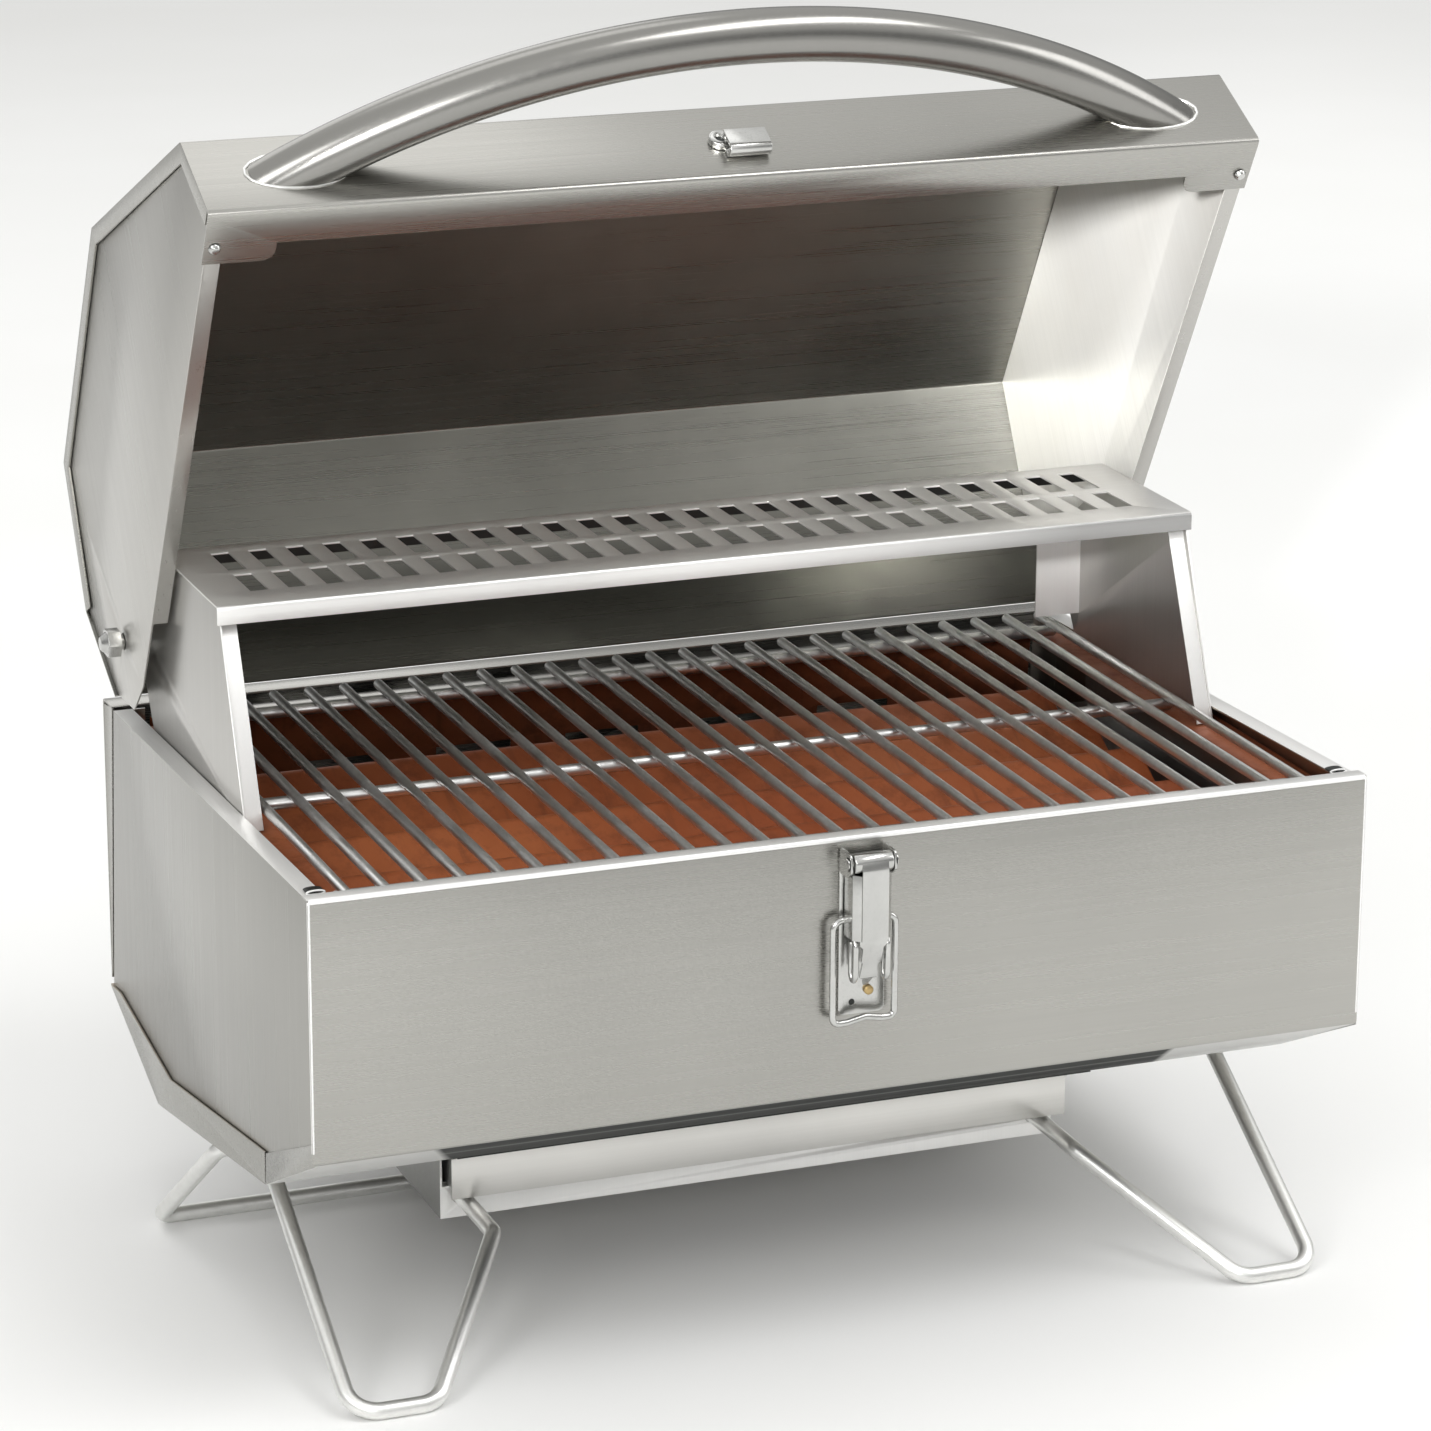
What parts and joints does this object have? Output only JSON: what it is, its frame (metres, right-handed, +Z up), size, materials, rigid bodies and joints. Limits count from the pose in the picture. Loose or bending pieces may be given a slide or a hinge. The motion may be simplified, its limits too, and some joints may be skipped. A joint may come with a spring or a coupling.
{
  "type": "folding camp grill",
  "caption": "Stainless steel table-top gas grill with an open hinged lid, arched handle, warming rack, wire grate, draw latch, slide-out drip tray and fold-away wire legs.",
  "frame": {"origin": "bottom centre of the whole grill's box, on the surface it stands on", "axes": "+Z up, -Y is the front with the latch, +X is the control side"},
  "size_m": [0.5728, 0.4394, 0.6093],
  "materials": {
    "brushed_stainless": "fine straight brushing along the sheet, soft reflections",
    "polished_steel": "bright stamped steel with soft edges and small scuffs",
    "satin_tube": "satin tube, brushed round its girth",
    "shaded_steel": "mill-finish steel, slightly smoked",
    "rod_steel": "drawn rod, satin, with fine drawing lines",
    "heat_tinted_steel": "stainless steel tinted orange-brown by heat, with soot",
    "brass": "machined",
    "black_plastic": "fine moulded texture",
    "ceramic": "glazed ceramic"
  },
  "bodies": {
    "tub": {"tub_front_panel": "brushed_stainless", "tub_bottom_pan": "brushed_stainless", "tub_side_left": "brushed_stainless", "tub_side_right": "brushed_stainless", "tub_rear_panel": "brushed_stainless", "rear_heat_shield": "brushed_stainless", "grate_ledge_left": "shaded_steel", "grate_ledge_right": "shaded_steel", "burner_tube": "shaded_steel", "heat_plate": "heat_tinted_steel", "plate_hanger_left": "shaded_steel", "plate_hanger_right": "shaded_steel", "burner_bracket_left": "shaded_steel", "burner_bracket_right": "shaded_steel", "igniter_electrode": "ceramic", "control_plate": "brushed_stainless", "gas_valve": "brass", "gas_inlet": "brass", "igniter_body": "black_plastic", "wing_left": "brushed_stainless", "wing_right": "brushed_stainless", "warming_rack": "brushed_stainless", "hinge_bolt_left": "polished_steel", "hinge_bolt_right": "polished_steel", "hinge_spacer_left": "polished_steel", "hinge_spacer_right": "polished_steel", "hinge_nut_left": "polished_steel", "hinge_nut_right": "polished_steel", "latch_base": "polished_steel", "latch_pin": "polished_steel", "latch_rivet": "brass", "tray_frame": "brushed_stainless", "leg_pivot_plate": "brushed_stainless", "tray_rail_left": "shaded_steel", "tray_rail_right": "shaded_steel", "tray_visor": "shaded_steel", "rear_leg_clip_left": "brushed_stainless", "rear_leg_clip_right": "brushed_stainless"},
    "lid": {"lid_wrap": "brushed_stainless", "lid_side_left": "brushed_stainless", "lid_side_right": "brushed_stainless", "lid_handle": "satin_tube", "latch_keeper": "polished_steel", "lid_rivet_left": "polished_steel", "lid_rivet_right": "polished_steel"},
    "grate": {"cooking_grate": "rod_steel"},
    "knob": {"control_knob": "black_plastic"},
    "igniter": {"igniter_button": "black_plastic"},
    "lever": {"latch_lever": "polished_steel"},
    "bail": {"latch_bail": "polished_steel"},
    "tray": {"drip_tray": "brushed_stainless"},
    "left_front_leg": {"front_leg_left": "rod_steel"},
    "right_front_leg": {"front_leg_right": "rod_steel"},
    "rear_leg": {"rear_leg": "rod_steel"}
  },
  "joints": [
    {"name": "lid_hinge", "type": "hinge", "parent": "tub", "child": "lid", "pos_m": [-0.01585, 0.11332, 0.2828], "axis": [1, 0, 0], "range_deg": [0, 59]},
    {"name": "grate_tip", "type": "hinge", "parent": "tub", "child": "grate", "pos_m": [-0.01585, 0.10462, 0.2413], "axis": [1, 0, 0], "range_deg": [-8, 0]},
    {"name": "knob_turn", "type": "hinge", "parent": "tub", "child": "knob", "pos_m": [0.26415, -0.03538, 0.172], "axis": [1, 0, 0], "range_deg": [0, 110]},
    {"name": "igniter_push", "type": "slide", "parent": "tub", "child": "igniter", "axis": [-1, 0, 0], "range_m": [0, 0.004], "stiffness_N_per_m": 900, "springref_m": -0.002},
    {"name": "lever_lift", "type": "hinge", "parent": "tub", "child": "lever", "pos_m": [-0.01385, -0.21538, 0.243], "axis": [1, 0, 0], "range_deg": [-140, 0]},
    {"name": "bail_swing", "type": "hinge", "parent": "lever", "child": "bail", "pos_m": [-0.01385, -0.20988, 0.215], "axis": [-1, 0, 0], "range_deg": [0, 170]},
    {"name": "tray_slide", "type": "slide", "parent": "tub", "child": "tray", "axis": [0, 1, 0], "range_m": [-0.11, 0]},
    {"name": "left_leg_fold", "type": "hinge", "parent": "tub", "child": "left_front_leg", "pos_m": [-0.16565, -0.07338, 0.0482], "axis": [0, -1, 0], "range_deg": [0, 190]},
    {"name": "right_leg_fold", "type": "hinge", "parent": "tub", "child": "right_front_leg", "pos_m": [0.13395, -0.07338, 0.0482], "axis": [0, 1, 0], "range_deg": [0, 190]},
    {"name": "rear_leg_fold", "type": "hinge", "parent": "tub", "child": "rear_leg", "pos_m": [-0.01585, -0.01738, 0.0642], "axis": [-1, 0, 0], "range_deg": [0, 114]}
  ]
}
